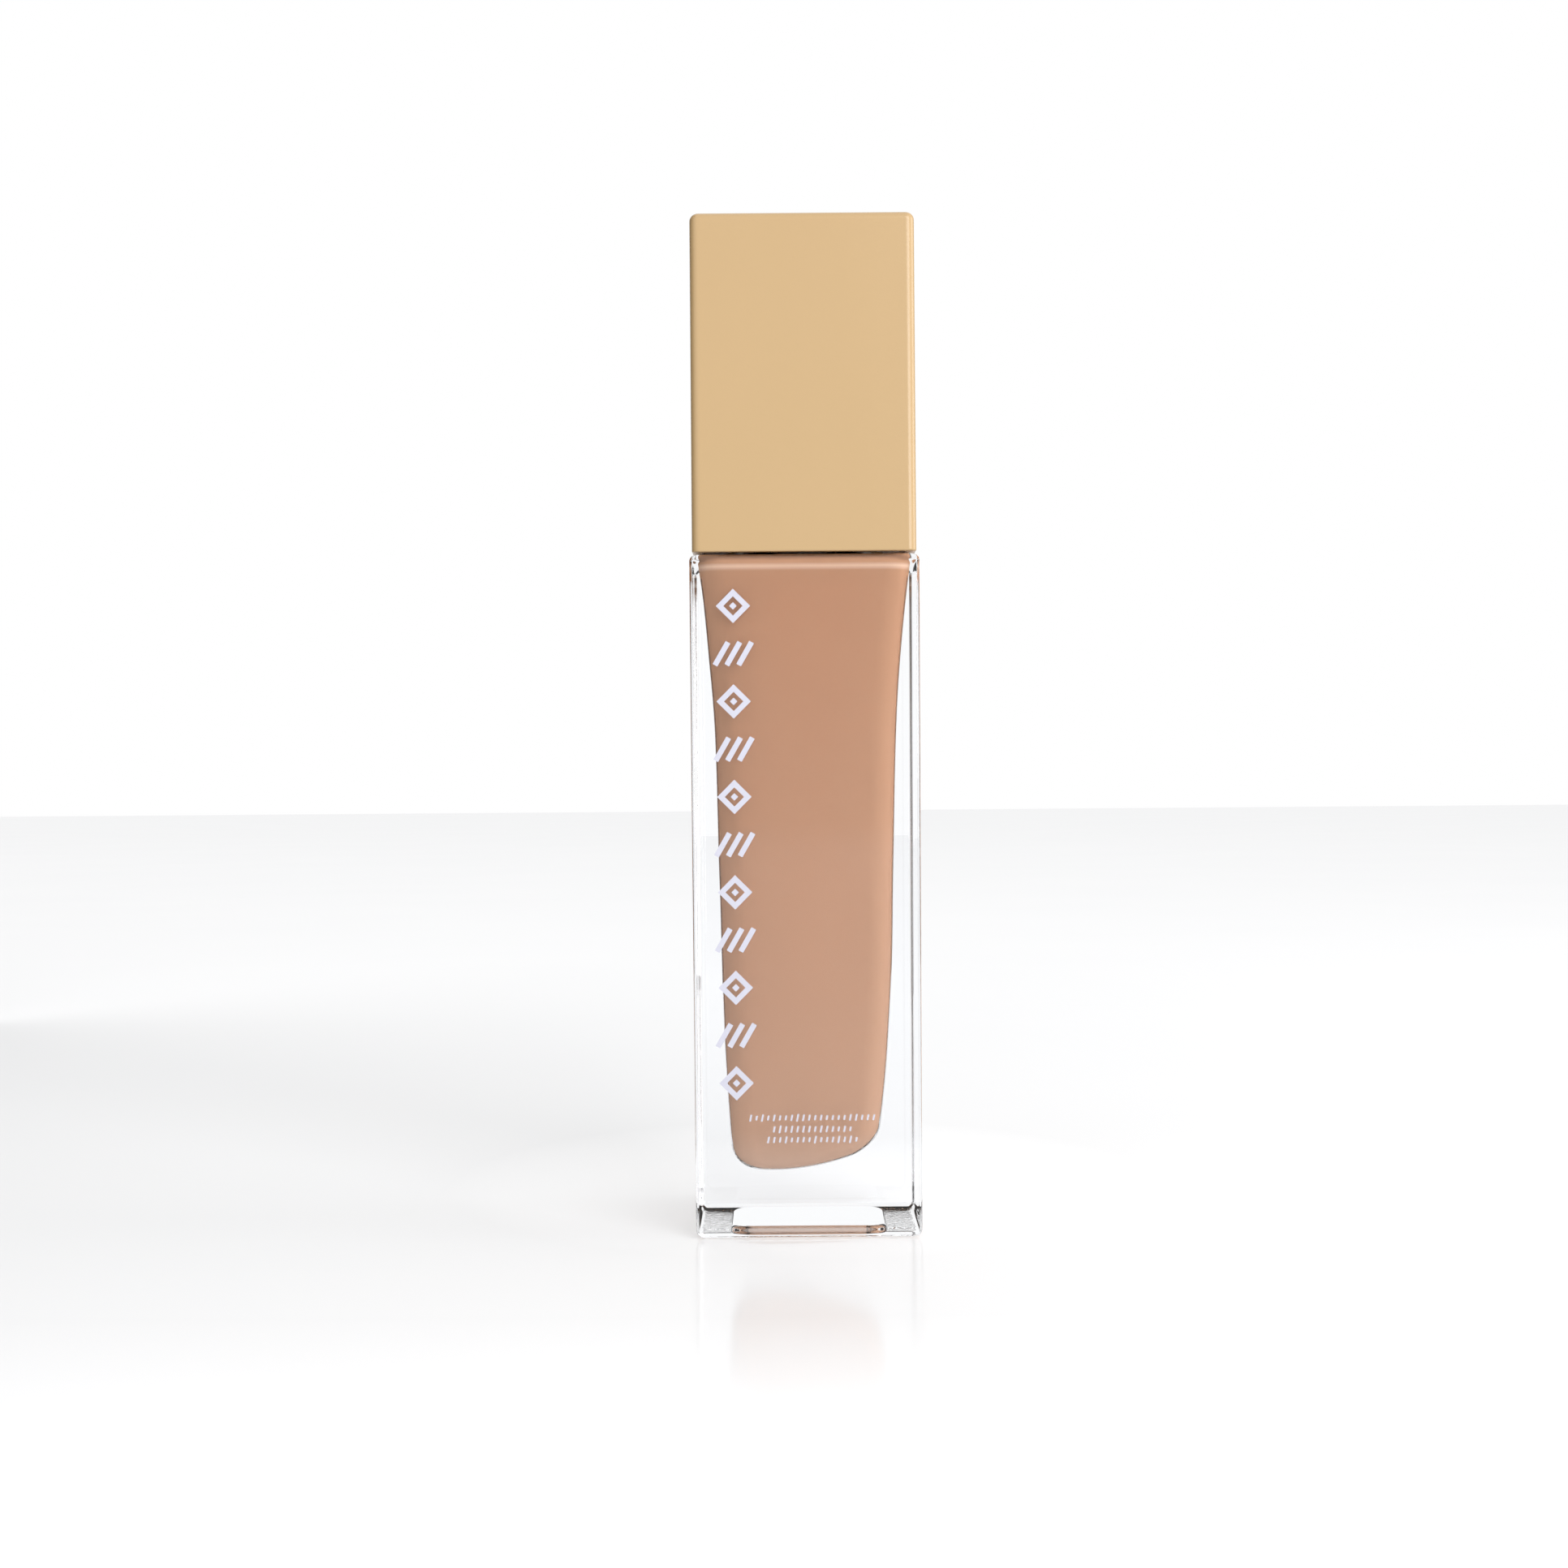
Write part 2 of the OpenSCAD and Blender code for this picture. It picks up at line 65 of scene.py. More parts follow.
def box_mm(node):
    """Lowest and highest corner of a design node, in millimetres."""
    low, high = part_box(node)
    return low / MM, high / MM


# %% [markdown]
# ## Shader maths in plain Python
# A material is a graph of nodes. Wiring sums by hand is slow to write and hard to read, so
# `Value` wraps one output and lets `+`, `-`, `*` and `/` add the Math nodes. Every other
# node comes from `Graph.add`, which takes the node's type, then its settings, then what
# goes into its sockets. A mesh can be made by a graph too, so `Graph` serves both.

# %% A value in a shader graph
class Value:
    """One output of a node, with Python's arithmetic on it."""

    def __init__(self, graph, socket):
        self.graph = graph
        self.socket = socket

    def maths(self, operation, *others):
        """This value and the others, put through a Math node."""
        inputs = dict(enumerate((self, *others)))
        return self.graph.add("ShaderNodeMath", {"operation": operation}, inputs)

    def __add__(self, other):
        return self.maths("ADD", other)

    def __sub__(self, other):
        return self.maths("SUBTRACT", other)

    def __rsub__(self, other):
        return self * -1.0 + other

    def __mul__(self, other):
        return self.maths("MULTIPLY", other)

    def __truediv__(self, other):
        return self.maths("DIVIDE", other)

    __radd__ = __add__
    __rmul__ = __mul__


# %% A graph of nodes
class Graph:
    """Anything that has a node tree: a material here, and later a recipe for a mesh."""

    tree = None

    def socket_of(self, sockets, key):
        """A socket by its place, its identifier or its name."""
        if isinstance(key, int):
            return sockets[key]
        for socket in sockets:
            if socket.identifier == key:
                return socket
        return sockets[key]

    def add(self, kind, settings=None, inputs=None, output=0):
        """A node of that kind. Its settings come first, then its sockets, where a list joins
        several links in one socket. Gives one output."""
        node = self.tree.nodes.new(kind)
        for setting, choice in (settings or {}).items():
            if setting == "stops":
                self.set_stops(node.color_ramp.elements, choice)
            else:
                setattr(node, setting, choice)
        for key, what in (inputs or {}).items():
            socket = self.socket_of(node.inputs, key)
            for one in what if isinstance(what, list) else [what]:
                if isinstance(one, Value):
                    self.tree.links.new(one.socket, socket)
                else:
                    socket.default_value = one
        return Value(self, self.socket_of(node.outputs, output))

    def set_stops(self, elements, stops):
        """Places a ramp's stops, each (position, grey level)."""
        while len(elements) < len(stops):
            elements.new(0.5)
        for element, (place, level) in zip(elements, stops):
            element.position = place
            element.color = (level, level, level, 1)


# %% A finish, which is one material
class Finish(Graph):
    """A material built round a Principled shader. Positions in it are in millimetres."""

    def __init__(self, name, **constants):
        self.material = bpy.data.materials.new(name)
        self.material.use_nodes = True
        self.tree = self.material.node_tree
        self.tree.nodes.clear()
        self.shader = self.tree.nodes.new("ShaderNodeBsdfPrincipled")
        self.out = self.tree.nodes.new("ShaderNodeOutputMaterial")
        self.tree.links.new(self.shader.outputs[0], self.out.inputs["Surface"])
        for socket, amount in constants.items():
            self.shader.inputs[socket.replace("_", " ")].default_value = amount

    def cover(self, shader, factor):
        """Lays another shader over the Principled one, as much of it as factor says."""
        inputs = {0: factor, 1: Value(self, self.shader.outputs[0]), 2: shader}
        both = self.add("ShaderNodeMixShader", inputs=inputs)
        self.tree.links.new(both.socket, self.out.inputs["Surface"])

    def feed(self, socket, value):
        self.tree.links.new(value.socket, self.shader.inputs[socket])

    def place(self, stretch=(1, 1, 1)):
        """Where a point lies on the piece, in millimetres, stretched along each axis."""
        where = self.add("ShaderNodeTexCoord", output="Object")
        scale = tuple(s / MM for s in stretch)
        return self.add(
            "ShaderNodeVectorMath", {"operation": "MULTIPLY"}, {0: where, 1: scale}
        )

    def axis(self, name):
        """One coordinate of a point on the piece, in millimetres."""
        return self.add("ShaderNodeSeparateXYZ", inputs={0: self.place()}, output=name)

    def grain(self, per_mm, detail=2.0, roughness=0.5, stretch=(1, 1, 1), distortion=0.0):
        """Soft random value from 0 to 1, with so many features in a millimetre."""
        inputs = {
            "Vector": self.place(stretch),
            "Scale": per_mm,
            "Detail": detail,
            "Roughness": roughness,
            "Distortion": distortion,
        }
        return self.add("ShaderNodeTexNoise", inputs=inputs, output="Fac")

    def ramp(self, value, *stops):
        return self.add("ShaderNodeValToRGB", {"stops": stops}, {"Fac": value})

    def blend(self, first, second, factor):
        """Goes from the first colour to the second as factor goes from 0 to 1."""
        inputs = {"Factor_Float": factor}
        for key, colour in (("A_Color", first), ("B_Color", second)):
            inputs[key] = colour if isinstance(colour, Value) else (*colour, 1)
        return self.add("ShaderNodeMix", {"data_type": "RGBA"}, inputs, "Result_Color")

    def raise_by(self, height, depth_mm, under=None):
        """Bump of that depth, on top of any other bump."""
        inputs = {"Height": height, "Distance": depth_mm * MM, "Strength": 1.0}
        if under is not None:
            inputs["Normal"] = under
        return self.add("ShaderNodeBump", inputs=inputs, output="Normal")


# %% [markdown]
# ## The finishes
# Colours are linear light, as a shader wants them. Each finish has the small unevenness
# that the real surface has: moulded plastic has a fine satin grain and faint flow marks,
# drawn wire has lines along it, and even polished glass is a little wavy.

# %% Clear moulded glass
def clear_glass():
    """Thick soda glass: clear, faintly cool, with the slow waviness of moulded glass.
    The rim that the bottle stands on is stippled, so that hot glass can slide on it."""
    finish = Finish("clear_glass", IOR=1.5, Transmission_Weight=1.0)
    streaks = finish.grain(0.12, detail=1.5, stretch=(1, 1, 0.35))
    finish.feed("Base Color", finish.blend((0.955, 0.968, 0.985), (0.985, 0.99, 1.0), streaks))
    smears = finish.grain(0.35, detail=4.0, roughness=0.6)
    rim = finish.ramp(finish.axis("Z"), (0.10, 1.0), (0.30, 0.0))
    finish.feed("Roughness", finish.ramp(smears, (0.45, 0.0), (0.8, 0.02)) + rim * 0.12)
    waves = finish.grain(0.16, detail=1.0, stretch=(1, 1, 0.5))
    pits = finish.grain(1.1, detail=2.0, roughness=0.6)
    stipple = finish.raise_by(pits * rim, 0.3)
    finish.feed("Normal", finish.raise_by(waves, 0.004, under=stipple))
    return finish.material


# %% Liquid foundation
def foundation_liquid():
    """Opaque pigmented cream, paler towards the bottom and palest at the floor.
    The cream bends light less than the glass does, so where the glass is seen along the
    liquid at a low angle, their boundary turns into a mirror: a thin line round the edge.
    At the brim a pale band is painted into the colour: a painted highlight where light gathers in the
    rounding."""
    finish = Finish("foundation_liquid", Specular_IOR_Level=0.0, IOR=1.45)
    low, high = box_mm("foundation_fill")
    height = finish.axis("Z")
    share = (height - low.z) / (high.z - low.z)
    rise = finish.ramp(share, (0.0, 0.0), (0.07, 0.55), (0.45, 0.80), (1.0, 1.0))
    cloud = finish.grain(0.09, detail=3.0, roughness=0.55, stretch=(1, 1, 0.4), distortion=0.6)
    body = finish.blend((0.82, 0.60, 0.48), (0.645, 0.340, 0.195), rise)
    mottled = finish.blend((0.63, 0.330, 0.190), (0.69, 0.368, 0.216), cloud)
    # The pale band at the brim is a painted highlight in the cream's colour.
    brim = finish.ramp((height - high.z) / 4 + 1, (0.73, 0.0), (0.87, 1.0), (0.98, 0.0))
    cream = finish.blend(body, mottled, 0.35)
    finish.feed("Base Color", finish.blend(cream, (0.96, 0.68, 0.51), brim * 0.9))
    finish.feed("Roughness", finish.grain(0.5, detail=2.0) * 0.15 + 0.5)
    finish.feed("Normal", finish.raise_by(cloud, 0.02))
    rim = finish.add("ShaderNodeFresnel", inputs={"IOR": 0.94})
    below_brim = finish.ramp((height - high.z) / 6 + 1, (0.66, 1.0), (0.74, 0.0))
    gloss = finish.add("ShaderNodeBsdfGlossy", inputs={"Roughness": 0.03})
    finish.cover(gloss, rim * below_brim)
    return finish.material


# %% Moulded beige plastic
def beige_satin():
    """Satin moulded plastic: fine grain and faint flow marks."""
    finish = Finish("beige_satin", Specular_IOR_Level=0.5, IOR=1.49)
    flow = finish.grain(0.07, detail=2.0, stretch=(1, 1, 0.25), distortion=0.4)
    speck = finish.grain(6.0, detail=1.0)
    tone = finish.blend((0.427, 0.288, 0.142), (0.452, 0.307, 0.154), flow)
    finish.feed("Base Color", finish.blend(tone, (0.465, 0.318, 0.163), speck * 0.25))
    finish.feed("Roughness", flow * 0.04 + speck * 0.04 + 0.17)
    skin = finish.raise_by(finish.grain(9.0, detail=2.0), 0.004)
    finish.feed("Normal", finish.raise_by(flow, 0.02, under=skin))
    return finish.material


# %% Natural plastic of the pump
def natural_plastic(name, colour, gloss):
    """Uncoloured or tinted polypropylene, slightly waxy, with flow marks."""
    finish = Finish(name, Specular_IOR_Level=0.45, IOR=1.49, Subsurface_Weight=0.08)
    finish.shader.inputs["Subsurface Radius"].default_value = (0.0012, 0.0010, 0.0008)
    finish.shader.inputs["Subsurface Scale"].default_value = 1.0
    flow = finish.grain(0.25, detail=3.0, distortion=0.8)
    dark = tuple(0.93 * c for c in colour)
    finish.feed("Base Color", finish.blend(dark, colour, flow))
    finish.feed("Roughness", flow * 0.12 + gloss)
    finish.feed("Normal", finish.raise_by(finish.grain(4.0, detail=2.0), 0.003))
    return finish.material


# %% Seals
def soft_seal():
    """Dull elastomer with a dusty bloom."""
    finish = Finish("soft_seal", Specular_IOR_Level=0.3)
    bloom = finish.grain(1.2, detail=4.0, roughness=0.6)
    finish.feed("Base Color", finish.blend((0.022, 0.022, 0.024), (0.06, 0.06, 0.062), bloom))
    finish.feed("Roughness", bloom * 0.2 + 0.55)
    finish.feed("Normal", finish.raise_by(bloom, 0.01))
    return finish.material


def gasket_foam():
    """Pale closed-cell foam: small round cells."""
    finish = Finish("gasket_foam", Specular_IOR_Level=0.25)
    cells = finish.add(
        "ShaderNodeTexVoronoi", inputs={"Vector": finish.place(), "Scale": 5.0}, output="Distance"
    )
    finish.feed("Base Color", finish.blend((0.62, 0.61, 0.57), (0.80, 0.79, 0.75), cells))
    finish.feed("Roughness", cells * 0.2 + 0.6)
    finish.feed("Normal", finish.raise_by(cells, 0.03))
    return finish.material


# %% Steel and ink
def steel(name, per_mm, stretch, polish):
    """Stainless steel, with its marks drawn out along the work."""
    finish = Finish(name, Metallic=1.0)
    lines = finish.grain(per_mm, detail=3.0, stretch=stretch)
    finish.feed("Base Color", finish.blend((0.50, 0.50, 0.51), (0.66, 0.66, 0.67), lines))
    finish.feed("Roughness", lines * 0.12 + polish)
    finish.feed("Normal", finish.raise_by(lines, 0.002))
    return finish.material


def print_ink():
    """Screen-printed ink, pale and slightly lavender, patchy in tone, with a fine grain in its surface.
    """
    finish = Finish("print_ink", Specular_IOR_Level=0.4)
    patch = finish.grain(1.5, detail=3.0)
    finish.feed("Base Color", finish.blend((0.47, 0.47, 0.55), (0.53, 0.53, 0.61), patch))
    finish.feed("Roughness", patch * 0.15 + 0.45)
    finish.feed("Normal", finish.raise_by(finish.grain(7.0, detail=1.0), 0.004))
    return finish.material


# %% Make the finishes
glass = clear_glass()
liquid = foundation_liquid()
beige = beige_satin()
white_plastic = natural_plastic("natural_plastic", (0.80, 0.79, 0.76), 0.30)
clear_tube = natural_plastic("tube_plastic", (0.72, 0.73, 0.72), 0.18)
seal_black = soft_seal()
foam = gasket_foam()
wire_steel = steel("spring_steel", 3.0, (1, 1, 6), 0.22)
ball_steel = steel("ball_steel", 1.5, (1, 1, 1), 0.06)
ink = print_ink()
print("finishes:", len(bpy.data.materials))


# %% [markdown]
# ## Rounded squares, stacked
# Nearly all of this bottle is one shape: a square with rounded corners that changes a
# little as it climbs. So the main helper makes one such ring of points, and another skins
# a stack of rings. Every ring has the same number of points, even a plain circle, so a
# square body can run straight on into a round neck.
#
# Flat faces in glass must be truly flat, or they bend what is seen through them. Smooth
# shading would tilt the normals near a rounded corner, so each flat side has one more
# point just before the corner, and the tilt stays inside that narrow strip.

# %% Rings of points
CORNER = 10         # steps round each rounded corner
HALF_SIDE = 6       # steps along half a flat side
GUARD = 0.15        # width of the strip beside a corner, in millimetres
QUARTER = 2 * HALF_SIDE + CORNER + 2


def square_ring(half, radius, z, shift=0.0):
    """A rounded square as points, anticlockwise from the middle of its +X side."""
    flat = half - radius
    steps = [max(flat - GUARD, 0) * i / HALF_SIDE for i in range(HALF_SIDE + 1)]
    arc = [math.radians(90 * i / CORNER) for i in range(CORNER + 1)]
    quarter = [(half, y) for y in steps]
    quarter += [(flat + radius * math.cos(a), flat + radius * math.sin(a)) for a in arc]
    quarter += [(x, half) for x in reversed(steps[1:])]
    ring = []
    for turn in ((1, 0), (0, 1), (-1, 0), (0, -1)):
        for x, y in quarter:
            px = x * turn[0] - y * turn[1]
            py = x * turn[1] + y * turn[0]
            ring.append((px + shift, py, z))
    return ring


def round_ring(radius, z):
    """A circle with as many points as a rounded square has."""
    count = 4 * QUARTER
    angles = [2 * math.pi * i / count for i in range(count)]
    return [(radius * math.cos(a), radius * math.sin(a), z) for a in angles]


def shrink(ring, share):
    """The same ring, drawn in towards its own middle."""
    middle = sum((Vector(p) for p in ring), Vector()) / len(ring)
    return [tuple(middle + (Vector(p) - middle) * share) for p in ring]


def quarter_turn(steps):
    """Cosine and sine along a quarter circle, in so many steps, for a rounded edge."""
    angles = [math.radians(90 * i / steps) for i in range(steps + 1)]
    return [(math.cos(a), math.sin(a)) for a in angles]


assert len(square_ring(14, 1.3, 0)) == 4 * QUARTER
print("points in a ring:", 4 * QUARTER)


# %% Skin a stack of rings
def new_piece(name, verts, faces, material, body, smooth=True):
    """A mesh object from points in millimetres. It rides on a body of the design."""
    mesh = bpy.data.meshes.new(name)
    mesh.from_pydata([tuple(c * MM for c in v) for v in verts], [], faces)
    work = bmesh.new()
    work.from_mesh(mesh)
    bmesh.ops.remove_doubles(work, verts=work.verts, dist=1e-7)
    bmesh.ops.recalc_face_normals(work, faces=work.faces)
    for face in work.faces:
        face.smooth = smooth
    work.to_mesh(mesh)
    work.free()
    mesh.materials.append(material)
    piece = bpy.data.objects.new(name, mesh)
    bpy.context.scene.collection.objects.link(piece)
    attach(piece, body)
    print(f"{name}: {len(mesh.polygons)} faces")
    return piece


def skin(rings):
    """Points and faces of a closed form through a stack of rings, with both ends closed."""
    count = len(rings[0])
    verts = [p for ring in rings for p in ring]
    faces = []
    for j in range(len(rings) - 1):
        for i in range(count):
            a = j * count + i
            b = j * count + (i + 1) % count
            faces.append((a, b, b + count, a + count))
    last = (len(rings) - 1) * count
    faces.append(tuple(reversed(range(count))))
    faces.append(tuple(range(last, last + count)))
    return verts, faces


# %% [markdown]
# ## The cavity
# The hollow inside the glass was pressed by a plunger and then blown, so it isn't a plain
# box. It is nearly as wide as the bottle at the shoulder, draws in to a wall several
# millimetres thick, and ends in a floor that dips to the left. Its wall is also slightly
# uneven, which is what makes the dark edge lines in thick glass look alive.

# %% Sizes of the glass
glass_high = box_mm("glass_bottle")[1]
HALF = glass_high.x                 # half the width of the bottle
RIM = glass_high.z                  # top of the neck
NECK_TALL = 14.0                    # from the shoulder to the top of the neck
SHOULDER = RIM - NECK_TALL
DRAFT = 0.25                        # the base is narrower by this much on each side
EDGE = 0.4                          # radius of the upright edges
SHOULDER_ROUND, HEEL = 0.9, 1.2     # radii at the top and at the bottom of the sides
ROOF = SHOULDER - 0.6               # the cavity ends a little below the shoulder
FLOOR = 8.3                         # height of the cavity's floor, before its dip
WALL_TOP, WALL_MID, WALL_LOW = 1.0, 3.3, 5.1
WALL_SLOPE = 0.0165                 # how fast the wall thins on the way up
FLOOR_LOWEST, FLOOR_BEND = -4.2, 0.0185
FLOOR_DIP = 0.6                     # how far the floor sinks at its lowest point
FLOOR_ROUND, ROOF_ROUND = 2.6, 0.5
CAVITY_CORNER = 3.0
UNEVEN = 0.10                       # how far blown glass strays from the true shape
TOE_SHIFT = -0.35                   # the foot of the cavity stands off to the left
MID, FLARE_FROM, TOE_FROM = 0.55 * SHOULDER, 0.643 * SHOULDER, 0.476 * SHOULDER
print(f"glass {2 * HALF:.1f} mm wide, {SHOULDER:.1f} mm to the shoulder, rim at {RIM:.1f}")


# %% The cavity's outline at each height
def toe(z):
    """0 above the toe of the cavity, rising to 1 at its floor."""
    return min(1, max(0, (TOE_FROM - z) / (TOE_FROM - FLOOR))) ** 2


def cavity_half(z):
    """Half the width of the cavity at height z."""
    up = max(0, (z - FLARE_FROM) / (ROOF - FLARE_FROM)) ** 2
    flare = WALL_MID - WALL_TOP - WALL_SLOPE * (ROOF - MID)
    draw = WALL_LOW - WALL_MID - WALL_SLOPE * (MID - FLOOR)
    return HALF - WALL_MID + WALL_SLOPE * (z - MID) + flare * up - draw * toe(z)


def floor_lift(x):
    """The floor dips left of the middle and climbs to the right, like a tipped saucer."""
    return FLOOR_BEND * (x - FLOOR_LOWEST) ** 2 - FLOOR_DIP


def uneven(ring):
    """Moves each point in or out a little, as blown glass does."""
    moved = []
    for x, y, z in ring:
        push = UNEVEN * noise.noise(Vector((x * 0.22, y * 0.22, z * 0.10)))
        length = math.hypot(x, y) or 1
        moved.append((x + push * x / length, y + push * y / length, z))
    return moved


def cavity_ring(z, inset, grow):
    """One ring of the cavity, drawn in by inset and grown outwards by grow."""
    half = cavity_half(z) - inset + grow
    radius = max(CAVITY_CORNER + grow - inset / 2, 0.8)
    ring = square_ring(half, radius, z, TOE_SHIFT * toe(z))
    return uneven([(x, y, up + floor_lift(x) * toe(z)) for x, y, up in ring])


def cavity_rings(grow=0.0):
    """The cavity from its roof down to the middle of its floor."""
    turns = list(reversed(quarter_turn(8)))
    rings = [
        cavity_ring(ROOF + grow - ROOF_ROUND * (1 - up), ROOF_ROUND * (1 - out), grow)
        for out, up in turns
    ]
    top, bottom, steps = ROOF - ROOF_ROUND, FLOOR + FLOOR_ROUND, 44
    rings += [cavity_ring(top + (bottom - top) * i / steps, 0, grow) for i in range(1, steps)]
    rings += [
        cavity_ring(FLOOR - grow + FLOOR_ROUND * (1 - out), FLOOR_ROUND * (1 - up), grow)
        for out, up in turns
    ]
    return rings + [shrink(rings[-1], s) for s in (0.6, 0.25, 0.05)]


print(f"cavity {2 * cavity_half(ROOF):.1f} mm wide at the top, {2 * cavity_half(FLOOR):.1f} at the floor")


# %% [markdown]
# ## The glass
# A bottle is one skin that never ends: up the outside, over the rim of the neck, down the
# bore and round the cavity. Glass only bends light rightly if that skin is closed and its
# faces point out of the glass on both sides, so it is made as one stack of rings, from the
# middle of the recess under the base to the middle of the cavity's floor. The screw thread
# is part of the same skin: it is a ridge that the neck's rings climb over.

# %% Outside of the glass
RECESS_HALF, RECESS_DEPTH, RECESS_ROUND = 9.8, 1.0, 0.8
RECESS_CORNER, RECESS_LIP = 3.0, 0.15


def outer_half(z):
    """Half the width of the bottle at height z, with the mould's draft."""
    return HALF - DRAFT * (1 - z / SHOULDER)


def base_rings():
    """From the middle of the recess out to the heel."""
    ceiling = [
        square_ring(
            RECESS_HALF - RECESS_ROUND * (1 - up),
            RECESS_CORNER - 0.5 * (1 - up),
            RECESS_DEPTH - RECESS_ROUND * (1 - out),
        )
        for out, up in quarter_turn(6)
    ]
    middle = [shrink(ceiling[0], s) for s in (0.05, 0.4, 0.96)]
    lip = [
        square_ring(RECESS_HALF + 0.2 * i / 3, RECESS_CORNER, RECESS_LIP * (1 - i / 3) ** 2)
        for i in range(4)
    ]
    foot = outer_half(0)
    heel = [
        square_ring(foot - HEEL * (1 - up), max(EDGE - HEEL * (1 - up), 0.25), HEEL * (1 - out))
        for out, up in quarter_turn(10)
    ]
    return middle + ceiling + lip + [square_ring(foot - HEEL - 0.2, 0.3, 0)] + heel


def side_rings():
    """Up the sides and over the shoulder to the foot of the neck."""
    straight = (HEEL + GUARD, SHOULDER - SHOULDER_ROUND - GUARD)
    sides = [square_ring(outer_half(z), EDGE, z) for z in straight]
    shoulder = [
        square_ring(
            HALF - SHOULDER_ROUND * (1 - out),
            max(EDGE - SHOULDER_ROUND * (1 - out), 0.25),
            SHOULDER - SHOULDER_ROUND * (1 - up),
        )
        for out, up in quarter_turn(10)
    ]
    return sides + shoulder + [square_ring(HALF - SHOULDER_ROUND - 0.3, 0.4, SHOULDER)]


print("rings outside:", len(base_rings()) + len(side_rings()))


# %% Neck, thread and bore
NECK, BORE = 7.8, 5.3               # radii outside and inside the neck
PITCH, THREAD_TURNS = 3.175, 1.6
THREAD_FROM = RIM - 9.4             # height at which the thread starts
THREAD_DEPTH, THREAD_HALF, THREAD_FLANK = 1.05, 1.0, 0.55
THREAD_FADE = 0.15                  # share of a turn in which each end fades out


def thread_height(angle, z):
    """How far the thread stands out of the neck there: a ridge that winds and fades out."""
    highest = 0.0
    for turn in range(-1, 3):
        along = turn + angle / (2 * math.pi)
        if 0 <= along <= THREAD_TURNS:
            off = abs(z - THREAD_FROM - PITCH * along)
            ridge = min(1, max(0, (THREAD_HALF - off) / THREAD_FLANK))
            fade = min(1, along / THREAD_FADE, (THREAD_TURNS - along) / THREAD_FADE)
            highest = max(highest, ridge * fade)
    return THREAD_DEPTH * highest


def neck_ring(z):
    """A ring of the neck at height z, pushed out wherever the thread passes."""
    ring = []
    for x, y, _ in round_ring(1, z):
        radius = NECK + thread_height(math.atan2(y, x) % (2 * math.pi), z)
        ring.append((radius * x, radius * y, z))
    return ring


def neck_rings():
    """Up the neck, over its rim and down the bore to the roof of the cavity."""
    fillet, lip, bevel = 0.5, 0.4, 0.3
    turns = quarter_turn(5)
    foot = [round_ring(NECK + fillet * (1 - up), SHOULDER + fillet * (1 - out)) for out, up in turns]
    low, high, steps = SHOULDER + 0.6, RIM - 0.6, 62
    wall = [neck_ring(low + (high - low) * i / steps) for i in range(steps + 1)]
    brim = [round_ring(NECK - lip * (1 - out), RIM - lip * (1 - up)) for out, up in turns]
    inner = [round_ring(BORE + bevel * (1 - up), RIM - bevel * (1 - out)) for out, up in turns]
    throat = [
        round_ring(BORE + wider, ROOF + higher)
        for wider, higher in ((0, 2.0), (0.3, 1.4), (1.2, 0.5), (2.4, 0))
    ]
    return foot + wall + brim + inner + throat


print(f"thread: {THREAD_TURNS} turns of {PITCH} mm on a neck of radius {NECK} mm")


# %% Make the glass
glass_rings = base_rings() + side_rings() + neck_rings() + cavity_rings()
glass_body = new_piece("glass_body", *skin(glass_rings), glass, "bottle")
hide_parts("glass_bottle")


# %% [markdown]
# ## The liquid
# Foundation wets the glass, so there is no air between them. If the liquid's surface lay
# exactly on the glass, the renderer couldn't tell which comes first. It is made a hair
# larger than the cavity instead: light in the glass then meets the liquid directly, as it
# does in the real bottle. A round channel down its middle makes room for the pump.

# %% Make the liquid
ROOM = 0.3                          # between the liquid and the pump, all round
BARREL, SOCKET = 4.8, 2.4           # radii of the pump's barrel and of its tube socket
SEAT_UP = 9.1                       # from the foot of the pump up to its ball seat


def channel_rings():
    """From the foot of the dip tube up to the top of the liquid, round the pump."""
    tube_low, tube_high = box_mm("dip_tube")
    pump_foot = box_mm("pump_housing")[0].z
    tube, socket, barrel = tube_high.x + ROOM, SOCKET + ROOM, BARREL + ROOM
    seat = pump_foot + SEAT_UP
    stops = [(0.3, tube_low.z - 0.5), (tube, tube_low.z - 0.4), (tube, pump_foot - 0.4)]
    stops += [(socket, pump_foot - 0.2), (socket, seat - ROOM), (barrel, seat + 2.6)]
    stops += [(barrel, ROOF + 0.02), (barrel + 0.3, ROOF + 0.05)]
    return [round_ring(radius, z) for radius, z in stops]


liquid_rings = channel_rings() + cavity_rings(grow=0.05)
liquid_body = new_piece("liquid_body", *skin(liquid_rings), liquid, "bottle")
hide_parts("foundation_fill")


# %% [markdown]
# ## The cap
# The cap is a moulded square box, open below. A moulded edge is never sharp: the upright
# edges and the top are rounded by a small radius, and those roundings catch the light as
# one long bright line. Like the glass, it is a single skin, from the ceiling inside, down
# the inner walls, round the lip and up the outside.

# %% Make the cap
CAP_EDGE, CAP_TOP, CAP_LIP = 1.0, 1.0, 0.18     # radii of the edges, the top and the lip
CAP_WALL, CAP_ROOF = 1.2, 1.5                   # thickness of the sides and of the top
CAP_INSIDE = 0.9                                # radius of the inner corners


